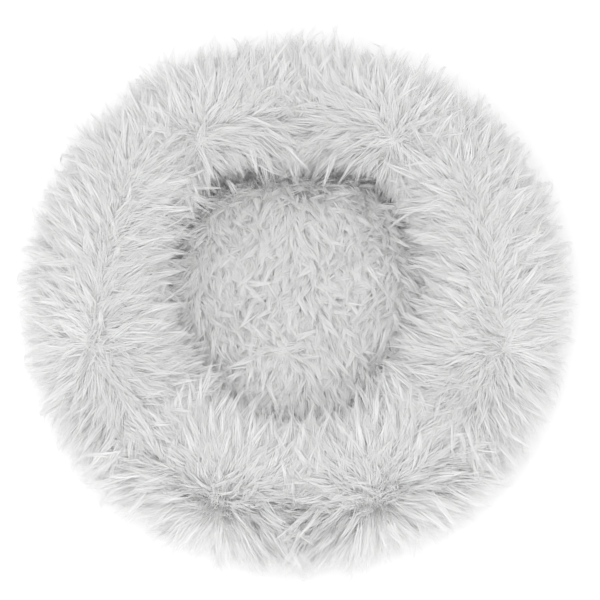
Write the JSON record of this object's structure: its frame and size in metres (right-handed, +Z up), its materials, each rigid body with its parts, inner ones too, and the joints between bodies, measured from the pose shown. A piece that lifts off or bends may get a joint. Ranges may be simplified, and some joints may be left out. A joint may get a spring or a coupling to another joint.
{
  "type": "round plush pet bed",
  "caption": "Round pet bed with a raised, filled ring bolster round a sunken pad, covered in shaggy faux fur, on a non-slip base with a hidden zip.",
  "frame": {"origin": "centre of the underside of the base panel, on the floor", "axes": "+Z up through the middle of the well, -Y towards the front, +Y towards the zip at the back"},
  "size_m": [0.57, 0.57, 0.18],
  "materials": {
    "fur": "long-pile shaggy faux fur, pale warm grey",
    "base_cloth": "plain-woven grey polyester with printed grip dots",
    "liner_cloth": "thin white non-woven cloth",
    "fibre_filling": "lofty white polyester fibre",
    "tape_cloth": "pale grey ribbed polyester tape",
    "zip_nylon": "pale grey moulded nylon coil",
    "zip_metal": "nickel-plated die casting",
    "label_cloth": "white satin ribbon, blank",
    "thread": "pale grey polyester sewing thread"
  },
  "bodies": {
    "bed": {"bolster_cover": "fur", "pad_cover": "fur", "inner_seam_tape": "tape_cloth", "bolster_filling": "fibre_filling", "bolster_liner": "liner_cloth", "pad_filling": "fibre_filling", "pad_liner": "liner_cloth", "base_panel": "base_cloth", "rim_binding": "tape_cloth", "rim_thread_lower": "thread", "rim_thread_upper": "thread", "zip_tape_lower": "tape_cloth", "zip_tape_upper": "tape_cloth", "zip_thread_lower": "thread", "zip_thread_upper": "thread", "zip_coil_lower": "zip_nylon", "zip_coil_upper": "zip_nylon", "zip_stop_closed": "zip_metal", "zip_stop_open": "zip_metal", "care_label": "label_cloth"},
    "slider": {"zip_slider": "zip_metal"},
    "pull": {"zip_pull": "zip_metal"}
  },
  "joints": [
    {"name": "zip_run", "type": "hinge", "parent": "bed", "child": "slider", "pos_m": [0, 0, 0.0433], "axis": [0, 0, 1], "range_deg": [0, 66.8]},
    {"name": "pull_swing", "type": "hinge", "parent": "slider", "child": "pull", "pos_m": [0.15056, 0.22833, 0.0433], "axis": [0.8348, -0.5505, 0], "range_deg": [0, 90]}
  ]
}
